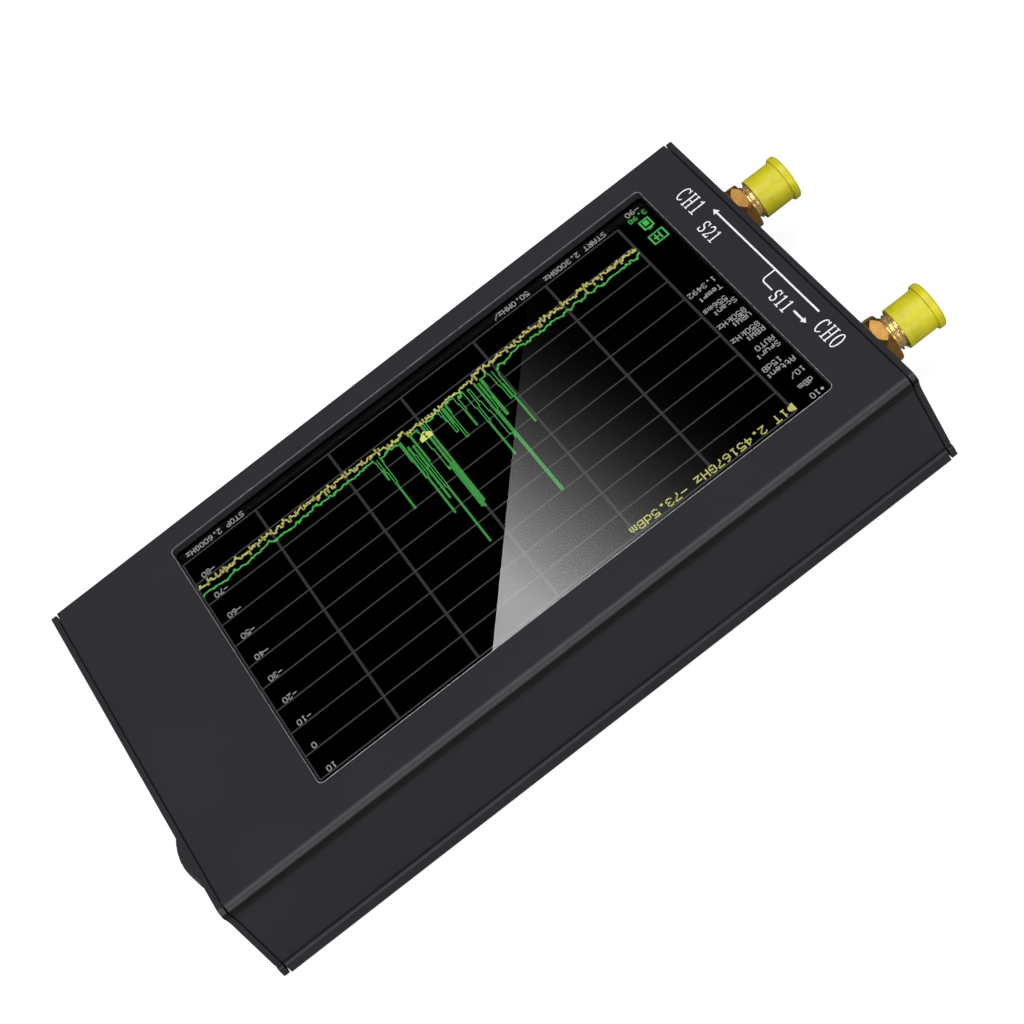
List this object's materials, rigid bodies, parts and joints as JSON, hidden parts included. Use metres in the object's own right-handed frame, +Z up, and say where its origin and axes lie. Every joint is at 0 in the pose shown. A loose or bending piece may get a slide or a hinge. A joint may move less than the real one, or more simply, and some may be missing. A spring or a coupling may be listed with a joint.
{
  "type": "spectrum analyzer",
  "caption": "Handheld landscape spectrum analyzer: flat extruded metal case, recessed colour touch screen, coaxial ports with dust caps on one end, jog lever and power button on the other.",
  "frame": {"origin": "centre of the case's flat bottom face", "axes": "+X towards the control end with the jog lever, -X towards the end with the coaxial ports, +Y towards the upper edge of the display picture, +Z up out of the display"},
  "size_m": [0.1445, 0.0764, 0.0212],
  "materials": {
    "anodised_case": "black anodised, fine satin",
    "screw_steel": "black oxide, satin",
    "foam_tape": "black adhesive foam",
    "touch_glass": "clear gloss",
    "lcd_panel": "black display surface",
    "pressed_steel": "tin plated sheet",
    "flex_film": "amber film",
    "circuit_board": "solder mask",
    "chip_epoxy": "moulded epoxy",
    "socket_plastic": "moulded",
    "battery_foil": "laminated foil pouch",
    "wire_insulation": "extruded",
    "switch_plastic": "moulded",
    "control_plastic": "moulded, fine grain",
    "pin_steel": "ground",
    "led_resin": "moulded",
    "light_pipe": "clear acrylic, frosted end",
    "gold_brass": "gold plated, turned",
    "contact_gold": "gold plated, bright",
    "washer_gold": "gold plated",
    "ptfe": "machined white",
    "cap_plastic": "soft moulded yellow"
  },
  "bodies": {
    "case": {"upper_shell": "anodised_case", "lower_shell": "anodised_case", "port_end_plate": "anodised_case", "control_end_plate": "anodised_case", "port_end_screws": "screw_steel", "control_end_screws": "screw_steel", "display_gasket": "foam_tape", "panel_tape": "foam_tape", "battery_tape": "foam_tape", "touch_glass": "touch_glass", "lcd_panel": "lcd_panel", "backlight_tray": "pressed_steel", "source_shield_can": "pressed_steel", "receiver_shield_can": "pressed_steel", "usb_shell": "pressed_steel", "lcd_flex": "flex_film", "touch_flex": "flex_film", "main_board": "circuit_board", "processor_chip": "chip_epoxy", "synthesizer_chip": "chip_epoxy", "lcd_flex_socket": "socket_plastic", "touch_flex_socket": "socket_plastic", "battery_socket": "socket_plastic", "battery_plug": "socket_plastic", "usb_tongue": "socket_plastic", "battery_pack": "battery_foil", "battery_leads": "wire_insulation", "power_switch_body": "switch_plastic", "jog_switch_body": "switch_plastic", "status_leds": "led_resin", "light_pipes": "light_pipe", "ch0_jack_body": "gold_brass", "ch0_hex_nut": "gold_brass", "ch1_jack_body": "gold_brass", "ch1_hex_nut": "gold_brass", "ch0_contact": "contact_gold", "ch1_contact": "contact_gold", "ch0_lock_washer": "washer_gold", "ch1_lock_washer": "washer_gold", "ch0_insulator": "ptfe", "ch1_insulator": "ptfe"},
    "jog_carriage": {"jog_carriage": "switch_plastic", "jog_pin": "pin_steel"},
    "jog_lever": {"jog_lever": "control_plastic"},
    "power_button": {"power_button": "control_plastic", "power_plunger": "switch_plastic"},
    "ch0_cap": {"ch0_dust_cap": "cap_plastic"},
    "ch1_cap": {"ch1_dust_cap": "cap_plastic"}
  },
  "joints": [
    {"name": "jog_press", "type": "slide", "parent": "case", "child": "jog_carriage", "axis": [-1, 0, 0], "range_m": [0, 0.0005], "stiffness_N_per_m": 1500},
    {"name": "jog_rock", "type": "hinge", "parent": "jog_carriage", "child": "jog_lever", "pos_m": [0.0552, 0.0164, 0.0098], "axis": [0, 0, 1], "range_deg": [-7, 7], "stiffness_Nm_per_rad": 0.03},
    {"name": "power_press", "type": "slide", "parent": "case", "child": "power_button", "axis": [-1, 0, 0], "range_m": [0, 0.0005], "stiffness_N_per_m": 1200},
    {"name": "ch0_cap_pull", "type": "slide", "parent": "case", "child": "ch0_cap", "axis": [-1, 0, 0], "range_m": [0, 0.015]},
    {"name": "ch1_cap_pull", "type": "slide", "parent": "case", "child": "ch1_cap", "axis": [-1, 0, 0], "range_m": [0, 0.015]}
  ]
}
